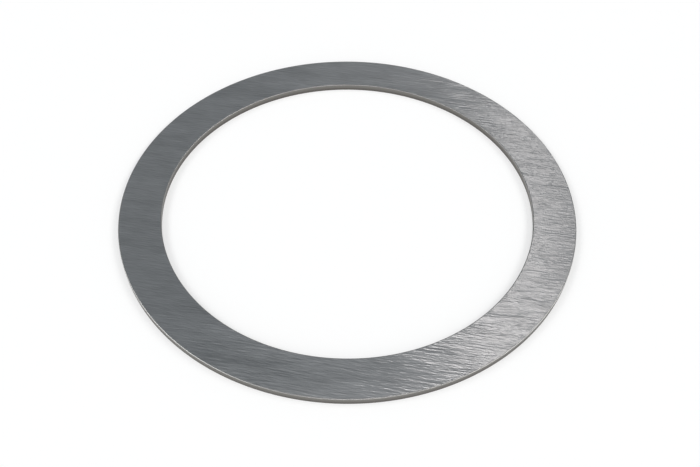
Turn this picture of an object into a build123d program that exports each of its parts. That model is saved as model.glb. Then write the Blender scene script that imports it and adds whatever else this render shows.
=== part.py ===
from build123d import *

import os
from math import cos, radians

# Shim ring for a 50 mm shaft in a 62 mm housing bore, blanked from 1 mm cold-rolled steel strip.
# Millimetres, +Z up. The ring lies flat, with the origin at the centre of its lower face.
#
# It is one piece. A compound die pierces the bore and blanks the rim in a single stroke, so both edges
# show the same sheared section. From the upper face down, that is the roll-over, where the strip was
# drawn in over the cutting edge; the burnished land, a true cylinder that fits the shaft or the housing;
# and the fracture, which leans back under the land to a corner that was rounded in the tumbling drum.

# The fit: the shaft that the ring goes on, the space from there out to the housing bore that it goes
# into, and the ring's play in each, on the diameter.
shaft_diameter = 50.0
radial_space = 6.0
bore_allowance = 0.25
rim_allowance = 0.30

# The strip.
thickness = 1.0

# The sheared edge, the same on the bore and on the rim. The roll-over is two arcs: a wide one that
# leaves the upper face and turns down by the draw-in angle, and the lip's, which turns on to the land.
draw_in_radius = 0.20
draw_in_angle = 30.0
lip_radius = 0.04
burnish_height = 0.20
fracture_lean = 0.05
tumbled_radius = 0.04

housing_diameter = shaft_diameter + 2 * radial_space
bore_radius = (shaft_diameter + bore_allowance) / 2
rim_radius = (housing_diameter - rim_allowance) / 2
middle_radius = (bore_radius + rim_radius) / 2
lip_angle = 90 - draw_in_angle
roll_over_depth = draw_in_radius - (draw_in_radius - lip_radius) * cos(radians(draw_in_angle))
land_top = thickness - roll_over_depth
land_foot = land_top - burnish_height

with BuildPart() as shim_ring:
    with BuildSketch(Plane.XZ) as strip_section:
        with BuildLine():
            # The rim's edge, from the lower face up to the upper one.
            fracture = Line((rim_radius - fracture_lean, 0), (rim_radius, land_foot))
            land = Line(fracture @ 1, (rim_radius, land_top))
            lip = JernArc(land @ 1, land % 1, lip_radius, lip_angle)
            draw_in = JernArc(lip @ 1, lip % 1, draw_in_radius, draw_in_angle)
            # The bore's edge is the same, facing the other way across the middle of the strip.
            bore_edge = mirror(about=Plane.YZ.offset(middle_radius))
            bore_corners = bore_edge.vertices().sort_by(Axis.Y)
            # The upper face and the lower face join the two edges.
            Line(draw_in @ 1, bore_corners[-1])
            Line(fracture @ 0, bore_corners[0])
        make_face()
        fillet(strip_section.vertices().group_by(Axis.Y)[0], tumbled_radius)
    revolve(axis=Axis.Z)

shim_ring.part.label = "shim_ring"

os.makedirs("parts", exist_ok=True)
export_step(shim_ring.part, "parts/shim_ring.step")
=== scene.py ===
from math import cos, pi, radians, sin, tan

import bmesh
import bpy
from mathutils import Matrix, Vector


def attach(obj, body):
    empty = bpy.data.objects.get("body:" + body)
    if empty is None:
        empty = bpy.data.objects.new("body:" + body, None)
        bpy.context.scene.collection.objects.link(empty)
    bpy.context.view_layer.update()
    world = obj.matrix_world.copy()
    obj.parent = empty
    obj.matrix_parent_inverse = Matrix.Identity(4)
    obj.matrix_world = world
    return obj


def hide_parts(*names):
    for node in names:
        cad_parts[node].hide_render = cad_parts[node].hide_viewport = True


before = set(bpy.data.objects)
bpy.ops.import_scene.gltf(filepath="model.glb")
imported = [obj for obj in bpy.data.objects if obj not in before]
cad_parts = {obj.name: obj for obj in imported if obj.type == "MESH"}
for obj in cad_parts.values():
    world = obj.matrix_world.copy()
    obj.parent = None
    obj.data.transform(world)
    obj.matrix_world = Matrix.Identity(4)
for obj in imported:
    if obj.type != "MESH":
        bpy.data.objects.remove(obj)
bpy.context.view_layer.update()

# ------------------------------------------------------------------------------------------ shim ring
# The one piece: a flat ring of cold-rolled spring steel strip, 1 mm thick, pierced and blanked in a
# single stroke. Its faces keep the strip's straight brushed grain, and its edges are the bare shear:
# roll-over, burnished land, then the fracture, with the lower corner rounded in the tumbling drum.

mm = 0.001
bore_radius = 25.125 * mm
rim_radius = 30.85 * mm
thickness = 1.0 * mm
draw_in_radius = 0.20 * mm
draw_in_angle = radians(30)
lip_radius = 0.04 * mm
burnish_height = 0.20 * mm
fracture_lean = 0.05 * mm
tumbled_radius = 0.04 * mm
turn_steps = 360

# The edge before it is rounded: a slope at the draw-in angle between the upper face and the land, as
# long as the two arcs take off it. Each corner is (in from the edge, up from the lower face).
draw_in_reach = draw_in_radius * tan(draw_in_angle / 2)
lip_reach = lip_radius * tan((radians(90) - draw_in_angle) / 2)
slope = draw_in_reach + lip_reach
draw_in_corner = (slope * cos(draw_in_angle), thickness)
lip_corner = (0.0, thickness - slope * sin(draw_in_angle))
land_top = lip_corner[1] - lip_reach
land_foot = land_top - burnish_height
land_corner = (0.0, land_foot)
lower_corner = (fracture_lean, 0.0)
edge_corners = [draw_in_corner, lip_corner, land_corner, lower_corner]

ring = bmesh.new()
rim_side = [ring.verts.new((rim_radius - inward, 0, up)) for inward, up in edge_corners]
bore_side = [ring.verts.new((bore_radius + inward, 0, up)) for inward, up in edge_corners]
outline = rim_side + bore_side[::-1]
section = [ring.edges.new((outline[i - 1], outline[i])) for i in range(len(outline))]
bmesh.ops.spin(
    ring,
    geom=section,
    cent=(0, 0, 0),
    axis=(0, 0, 1),
    angle=radians(360),
    steps=turn_steps,
    use_merge=True,
)
bmesh.ops.recalc_face_normals(ring, faces=ring.faces)

merge_distance = 0.0001 * mm
placing_error = 0.001 * mm


def hoops(corner):
    """The edges that run round the ring at one corner of the section, on the rim and on the bore."""
    inward, up = corner
    found = []
    for radius in (rim_radius - inward, bore_radius + inward):
        for edge in ring.edges:
            ends = [(end.co.xy.length - radius, end.co.z - up) for end in edge.verts]
            if all(abs(off) < placing_error for end in ends for off in end):
                found.append(edge)
    return found


for corner, reach, segments in [
    (draw_in_corner, draw_in_reach, 6),
    (lip_corner, lip_reach, 5),
    (lower_corner, tumbled_radius, 4),
]:
    bmesh.ops.bevel(
        ring,
        geom=hoops(corner),
        offset=reach,
        offset_type="OFFSET",
        segments=segments,
        profile=0.5,
        affect="EDGES",
        material=-1,
    )
# The draw-in arc ends where the lip's begins, so the slope between them has no width left.
bmesh.ops.remove_doubles(ring, verts=ring.verts, dist=merge_distance)

# The ring's four kinds of surface, numbered in the order in which their steels are added below.
FACE, ROLL_OVER, LAND, FRACTURE = range(4)


def is_flat(face):
    """Whether a facet belongs to the upper or the lower face of the ring."""
    return abs(face.normal.z) > cos(radians(1))


for face in ring.faces:
    face.smooth = True
    height = face.calc_center_median().z
    if is_flat(face):
        face.material_index = FACE
    elif height > land_top:
        face.material_index = ROLL_OVER
    elif height > land_foot:
        face.material_index = LAND
    else:
        face.material_index = FRACTURE
for edge in ring.edges:
    one, other = edge.link_faces
    edge.smooth = is_flat(one) == is_flat(other)

ring_mesh = bpy.data.meshes.new("shim_ring_steel")
ring.to_mesh(ring_mesh)
ring.free()
shim_ring = bpy.data.objects.new("blanked_ring", ring_mesh)
bpy.context.scene.collection.objects.link(shim_ring)


def linear(hex_colour):
    """An sRGB hex colour as the linear values that a shader takes."""
    parts = [int(hex_colour[i : i + 2], 16) / 255 for i in (1, 3, 5)]
    return [c / 12.92 if c <= 0.04045 else ((c + 0.055) / 1.055) ** 2.4 for c in parts] + [1]


def add(tree, kind, inputs, **settings):
    """Adds a node, sets it up and feeds its inputs, by name or number, from values or other sockets."""
    node = tree.nodes.new(kind)
    for name, value in settings.items():
        setattr(node, name, value)
    for socket, value in inputs.items():
        if isinstance(value, bpy.types.NodeSocket):
            tree.links.new(value, node.inputs[socket])
        else:
            node.inputs[socket].default_value = value
    return node


# A Mix node's colour sockets go by their numbers, as they share their names with its other kinds.
MIX_A, MIX_B, MIXED = 6, 7, 2


def material(name):
    """A material with that name and an empty node tree."""
    made = bpy.data.materials.new(name)
    made.use_nodes = True
    made.node_tree.nodes.clear()
    return made, made.node_tree


# Brushed strip steel: cold-rolled, then brushed along the coil. The fine grooves draw every light out
# across the grain, so a face goes from dark to bright as it turns, and glints where it is brightest.
brushed, tree = material("brushed_strip_steel")
grain_angle = radians(-7)
shallowest_scratch = 0.66
deepest_scratch = 0.80
shading_contrast = 3.1
mean_roughness = 0.30
place = add(tree, "ShaderNodeTexCoord", {})


def strokes(angle, length, width, seed, detail=0.0, aside=0.0):
    """Noise drawn out into strokes of that length and width in mm, at that many degrees to the X axis.

    Each seed gives another place in the noise, and aside moves it over by that many widths.
    """
    turned = add(
        tree,
        "ShaderNodeMapping",
        {"Vector": place.outputs["Object"], "Rotation": (0, 0, radians(-angle))},
        vector_type="POINT",
    )
    drawn = add(
        tree,
        "ShaderNodeVectorMath",
        {
            0: turned.outputs["Vector"],
            1: (1 / (length * mm), 1 / (width * mm), 1 / mm),
            2: (seed * 7.3, seed * 3.1 + aside, seed),
        },
        operation="MULTIPLY_ADD",
    )
    # One cell of the noise holds a stroke and the gap beside it, so the scale is a half.
    noise = add(
        tree,
        "ShaderNodeTexNoise",
        {"Vector": drawn.outputs["Vector"], "Scale": 0.5, "Detail": detail, "Roughness": 0.6},
    )
    return noise.outputs["Fac"]


def grooves(angle, length, width, depth, seed):
    """Strokes with one flank up and the other down, as the weighted sockets that sum_of takes."""
    near_flank = strokes(angle, length, width, seed)
    far_flank = strokes(angle, length, width, seed, aside=1.0)
    return (near_flank, depth), (far_flank, -depth)


def scratch(angle, length, width, seed):
    """Only the deepest few of such strokes, from 0 where the steel is whole to 1 at the deepest."""
    stroke = strokes(angle, length, width, seed)
    deepest = add(
        tree,
        "ShaderNodeMapRange",
        {"Value": stroke, "From Min": shallowest_scratch, "From Max": deepest_scratch},
    )
    return deepest.outputs["Result"]


def sum_of(*weighted):
    """Adds up sockets by their weights, each less its middle value of a half."""
    total = -sum(weight for socket, weight in weighted) / 2
    for socket, weight in weighted:
        inputs = {0: socket, 1: weight, 2: total}
        total = add(tree, "ShaderNodeMath", inputs, operation="MULTIPLY_ADD").outputs["Value"]
    return total


# The brush's grooves are a few hundredths of a millimetre wide, which is too fine to show, so they are
# drawn two to four times as wide. They cross at small angles, as the brush wanders over the strip.
brush_grooves = [
    *grooves(-17, 0.45, 0.075, depth=0.085, seed=1),
    *grooves(-5, 1.2, 0.085, depth=0.08, seed=2),
    *grooves(-12, 2.0, 0.13, depth=0.07, seed=3),
]
bands = strokes(-9, 14.0, 1.2, seed=5, detail=2.0)
mottle = strokes(-9, 2.0, 0.7, seed=6, detail=2.0)
raised_scratches = scratch(-12, 6.0, 0.16, seed=7)
sunk_scratches = scratch(-8, 5.0, 0.14, seed=8)

# The grooves' flanks lean along the grain, and so scatter the one bright reflection into glints.
flank_slope = sum_of(
    *brush_grooves,
    (mottle, 0.03),
    (bands, 0.05),
    (raised_scratches, 0.03),
    (sunk_scratches, -0.03),
)
along_grain = add(
    tree,
    "ShaderNodeVectorTransform",
    {"Vector": (cos(grain_angle), sin(grain_angle), 0.0)},
    vector_type="VECTOR",
    convert_from="OBJECT",
    convert_to="WORLD",
)
lean = add(
    tree,
    "ShaderNodeVectorMath",
    {0: along_grain.outputs["Vector"], "Scale": flank_slope},
    operation="SCALE",
)
surface = add(tree, "ShaderNodeNewGeometry", {})
leaning = add(
    tree,
    "ShaderNodeVectorMath",
    {0: surface.outputs["Normal"], 1: lean.outputs["Vector"]},
    operation="ADD",
)
facing = add(tree, "ShaderNodeVectorMath", {0: leaning.outputs["Vector"]}, operation="NORMALIZE")

# The same grooves shade the steel a little, which is what shows of them away from the highlight.
shading = sum_of(*brush_grooves, (mottle, 0.15), (bands, 0.06))
shade = add(tree, "ShaderNodeMath", {0: shading, 1: shading_contrast, 2: 1.0}, operation="MULTIPLY_ADD")
steel = add(
    tree,
    "ShaderNodeMix",
    {"Factor": 1.0, MIX_A: linear("#C5C5C6"), MIX_B: shade.outputs["Value"]},
    data_type="RGBA",
    blend_type="MULTIPLY",
)
wear = sum_of((bands, 0.03), (mottle, 0.03))
roughness = add(tree, "ShaderNodeMath", {0: wear, 1: mean_roughness}, operation="ADD")
shader = add(
    tree,
    "ShaderNodeBsdfPrincipled",
    {
        "Base Color": steel.outputs[MIXED],
        "Metallic": 1.0,
        "Roughness": roughness.outputs["Value"],
        "Anisotropic": 1.0,
        "Anisotropic Rotation": 0.25,
        "Normal": facing.outputs["Vector"],
        "Tangent": along_grain.outputs["Vector"],
    },
)
add(tree, "ShaderNodeOutputMaterial", {"Surface": shader.outputs["BSDF"]})
ring_mesh.materials.append(brushed)

# Drawn-in steel, the strip's own skin where it was pulled down over the cutting edge. The grain is
# stretched away there, and what is left is a smooth, slightly dull round with a thin line of light.
drawn_in, tree = material("drawn_in_steel")
shader = add(
    tree,
    "ShaderNodeBsdfPrincipled",
    {"Base Color": linear("#B2B1AF"), "Metallic": 1.0, "Roughness": 0.35},
)
add(tree, "ShaderNodeOutputMaterial", {"Surface": shader.outputs["BSDF"]})
ring_mesh.materials.append(drawn_in)

# Burnished steel, which slid along the die under load: a narrow, even band without grain, darker than
# the face.
burnished, tree = material("burnished_land_steel")
shader = add(
    tree,
    "ShaderNodeBsdfPrincipled",
    {"Base Color": linear("#7E7C79"), "Metallic": 1.0, "Roughness": 0.35},
)
add(tree, "ShaderNodeOutputMaterial", {"Surface": shader.outputs["BSDF"]})
ring_mesh.materials.append(burnished)

# Fractured steel, torn and not cut: a dull, warm grey, with painted shade that darkens it towards its foot,
# where the floor's shadow comes close under the edge.
fractured, tree = material("fractured_steel")
edge_place = add(tree, "ShaderNodeTexCoord", {})
edge_height = add(tree, "ShaderNodeSeparateXYZ", {"Vector": edge_place.outputs["Object"]})
# Painted shade: the break's grey darkens from the land down to the foot, where the floor's shadow falls.
painted_shade_rise = add(tree, "ShaderNodeMapRange", {"Value": edge_height.outputs["Z"], "From Max": land_foot})
break_grey_painted_shade = add(
    tree,
    "ShaderNodeMix",
    {"Factor": painted_shade_rise.outputs["Result"], MIX_A: linear("#625F5C"), MIX_B: linear("#84827E")},
    data_type="RGBA",
)
shader = add(
    tree,
    "ShaderNodeBsdfPrincipled",
    {"Base Color": break_grey_painted_shade.outputs[MIXED], "Metallic": 1.0, "Roughness": 0.55},
)
add(tree, "ShaderNodeOutputMaterial", {"Surface": shader.outputs["BSDF"]})
ring_mesh.materials.append(fractured)

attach(shim_ring, "root")
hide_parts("shim_ring")

# ---------------------------------------------------------------------------------------------- floor
# A sheet of matt white board under the ring. It is lit from behind as well, as a light table is, so
# half of its white is its own, and the ring's shadow on it is only half as deep. It shows from above
# only, and lies a hundredth of a millimetre lower than the ring, as two faces in one plane would mix.
floor_size = 12.0
floor_gap = 0.01 * mm
floor_glow = 0.5
board = bmesh.new()
bmesh.ops.create_grid(board, x_segments=1, y_segments=1, size=floor_size / 2)
floor_mesh = bpy.data.meshes.new("floor")
board.to_mesh(floor_mesh)
board.free()
floor = bpy.data.objects.new("floor", floor_mesh)
floor.location.z = -floor_gap
bpy.context.scene.collection.objects.link(floor)

# Matt white board: uncoated card without any gloss, so it shows as an even white with soft shadows.
white_board, tree = material("matt_white_board")
lit_board = add(
    tree,
    "ShaderNodeBsdfPrincipled",
    {"Base Color": linear("#FCFCFC"), "Roughness": 0.9, "Specular IOR Level": 0.0},
)
white_glow = add(tree, "ShaderNodeEmission", {"Color": linear("#FFFFFF"), "Strength": 1.0})
path = add(tree, "ShaderNodeLightPath", {})
seen_or_mirrored = add(
    tree,
    "ShaderNodeMath",
    {0: path.outputs["Is Camera Ray"], 1: path.outputs["Is Glossy Ray"]},
    operation="MAXIMUM",
)
seen = add(
    tree,
    "ShaderNodeMath",
    {0: seen_or_mirrored.outputs["Value"], 1: path.outputs["Is Transmission Ray"]},
    operation="MAXIMUM",
)
glow_share = add(tree, "ShaderNodeMath", {0: seen.outputs["Value"], 1: floor_glow}, operation="MULTIPLY")
board_face = add(
    tree,
    "ShaderNodeMixShader",
    {"Fac": glow_share.outputs["Value"], 1: lit_board.outputs["BSDF"], 2: white_glow.outputs["Emission"]},
)
board_side = add(tree, "ShaderNodeNewGeometry", {})
clear = add(tree, "ShaderNodeBsdfTransparent", {})
one_sided = add(
    tree,
    "ShaderNodeMixShader",
    {"Fac": board_side.outputs["Backfacing"], 1: board_face.outputs["Shader"], 2: clear.outputs["BSDF"]},
)
add(tree, "ShaderNodeOutputMaterial", {"Surface": one_sided.outputs["Shader"]})
floor_mesh.materials.append(white_board)

# ---------------------------------------------------------------------------------------------- light
# A plain studio. Its near side is white, and its far side and the ceiling over it are grey, so that
# the steel is darkest where it mirrors them and the lips catch the white. The softboxes hang in it.
world = bpy.data.worlds.new("studio")
bpy.context.scene.world = world
world.use_nodes = True
tree = world.node_tree
tree.nodes.clear()
outward = add(tree, "ShaderNodeTexCoord", {})
direction = add(tree, "ShaderNodeSeparateXYZ", {"Vector": outward.outputs["Generated"]})
climb = add(
    tree,
    "ShaderNodeMapRange",
    {"Value": direction.outputs["Z"], "From Min": 0.08, "From Max": 0.95},
    interpolation_type="SMOOTHSTEP",
)
nearness = add(
    tree,
    "ShaderNodeMapRange",
    {"Value": direction.outputs["Y"], "From Min": -0.2, "From Max": -0.7},
    interpolation_type="SMOOTHSTEP",
)
far_side = add(
    tree,
    "ShaderNodeMix",
    {"Factor": climb.outputs["Result"], MIX_A: linear("#AAACAE"), MIX_B: linear("#6E7579")},
    data_type="RGBA",
)
near_side = add(
    tree,
    "ShaderNodeMix",
    {"Factor": climb.outputs["Result"], MIX_A: linear("#FAFAFA"), MIX_B: linear("#E0E0E0")},
    data_type="RGBA",
)
room = add(
    tree,
    "ShaderNodeMix",
    {"Factor": nearness.outputs["Result"], MIX_A: far_side.outputs[MIXED], MIX_B: near_side.outputs[MIXED]},
    data_type="RGBA",
)
room_light = add(tree, "ShaderNodeBackground", {"Color": room.outputs[MIXED], "Strength": 1.0})
add(tree, "ShaderNodeOutputWorld", {"Surface": room_light.outputs["Background"]})


def softbox(name, centre, width, height, radiance, colour):
    """A softbox of that radiance and size in metres, aimed at the ring with its width level."""
    lamp = bpy.data.lights.new(name, "AREA")
    lamp.shape = "RECTANGLE"
    lamp.size = width
    lamp.size_y = height
    lamp.energy = radiance * pi * width * height
    lamp.color = linear(colour)[:3]
    holder = bpy.data.objects.new(name, lamp)
    aim = Vector(centre).to_track_quat("Z", "Y").to_matrix().to_4x4()
    holder.matrix_world = Matrix.Translation(centre) @ aim
    holder.visible_camera = False
    bpy.context.scene.collection.objects.link(holder)
    return holder


def overhead_softbox(name, centre, width, length, radiance, colour):
    """A softbox that faces straight down, with its length square to the grain."""
    holder = softbox(name, centre, width, length, radiance, colour)
    holder.matrix_world = Matrix.Translation(centre) @ Matrix.Rotation(grain_angle, 4, "Z")


# The grain draws the strip's light out into the one bright sector of the face, and that of the wide,
# dim ones overhead into the slopes beside it. The bright ones at the sides light the board, and the
# front one the near edge.
overhead_softbox("strip_softbox", (0.236, 0.0, 2.0), 0.10, 2.6, 3.9, "#FFFAF7")
overhead_softbox("ceiling_softbox", (-0.12, -0.5, 2.1), 0.6, 2.4, 0.32, "#FFFFFF")
overhead_softbox("side_ceiling_softbox", (0.75, 0.1, 2.1), 0.6, 2.2, 0.12, "#FFFFFF")
softbox("right_softbox", (2.0, -0.3, 2.1), 2.8, 1.2, 3.5, "#FFFEFC")
softbox("left_softbox", (-2.0, -0.3, 2.1), 2.8, 1.2, 3.5, "#FEFEFE")
softbox("front_softbox", (0.0, -2.6, 1.2), 2.4, 1.8, 0.5, "#FFFEFC")

# --------------------------------------------------------------------------------------------- camera
# A plain 50 mm lens on a full frame, 133 mm from the middle of the ring and 47 degrees above the floor.
# It looks down a little more steeply than that, so the ring sits above the middle of the frame.
camera_distance = 133.20 * mm
camera_elevation = radians(47.089)
camera_yaw = radians(0.2347)
camera_pitch = radians(48.507)
camera_roll = radians(0.478)
lens = bpy.data.cameras.new("camera")
lens.lens = 50
lens.sensor_width = 36
lens.clip_start = 0.01
lens.clip_end = 50
camera = bpy.data.objects.new("camera", lens)
stand = Vector((0, -cos(camera_elevation), sin(camera_elevation))) * camera_distance
camera.matrix_world = (
    Matrix.Translation(stand)
    @ Matrix.Rotation(-camera_yaw, 4, "Z")
    @ Matrix.Rotation(radians(90) - camera_pitch, 4, "X")
    @ Matrix.Rotation(camera_roll, 4, "Z")
)
bpy.context.scene.collection.objects.link(camera)
bpy.context.scene.camera = camera
bpy.context.scene.view_settings.view_transform = "Standard"

bpy.context.view_layer.update()
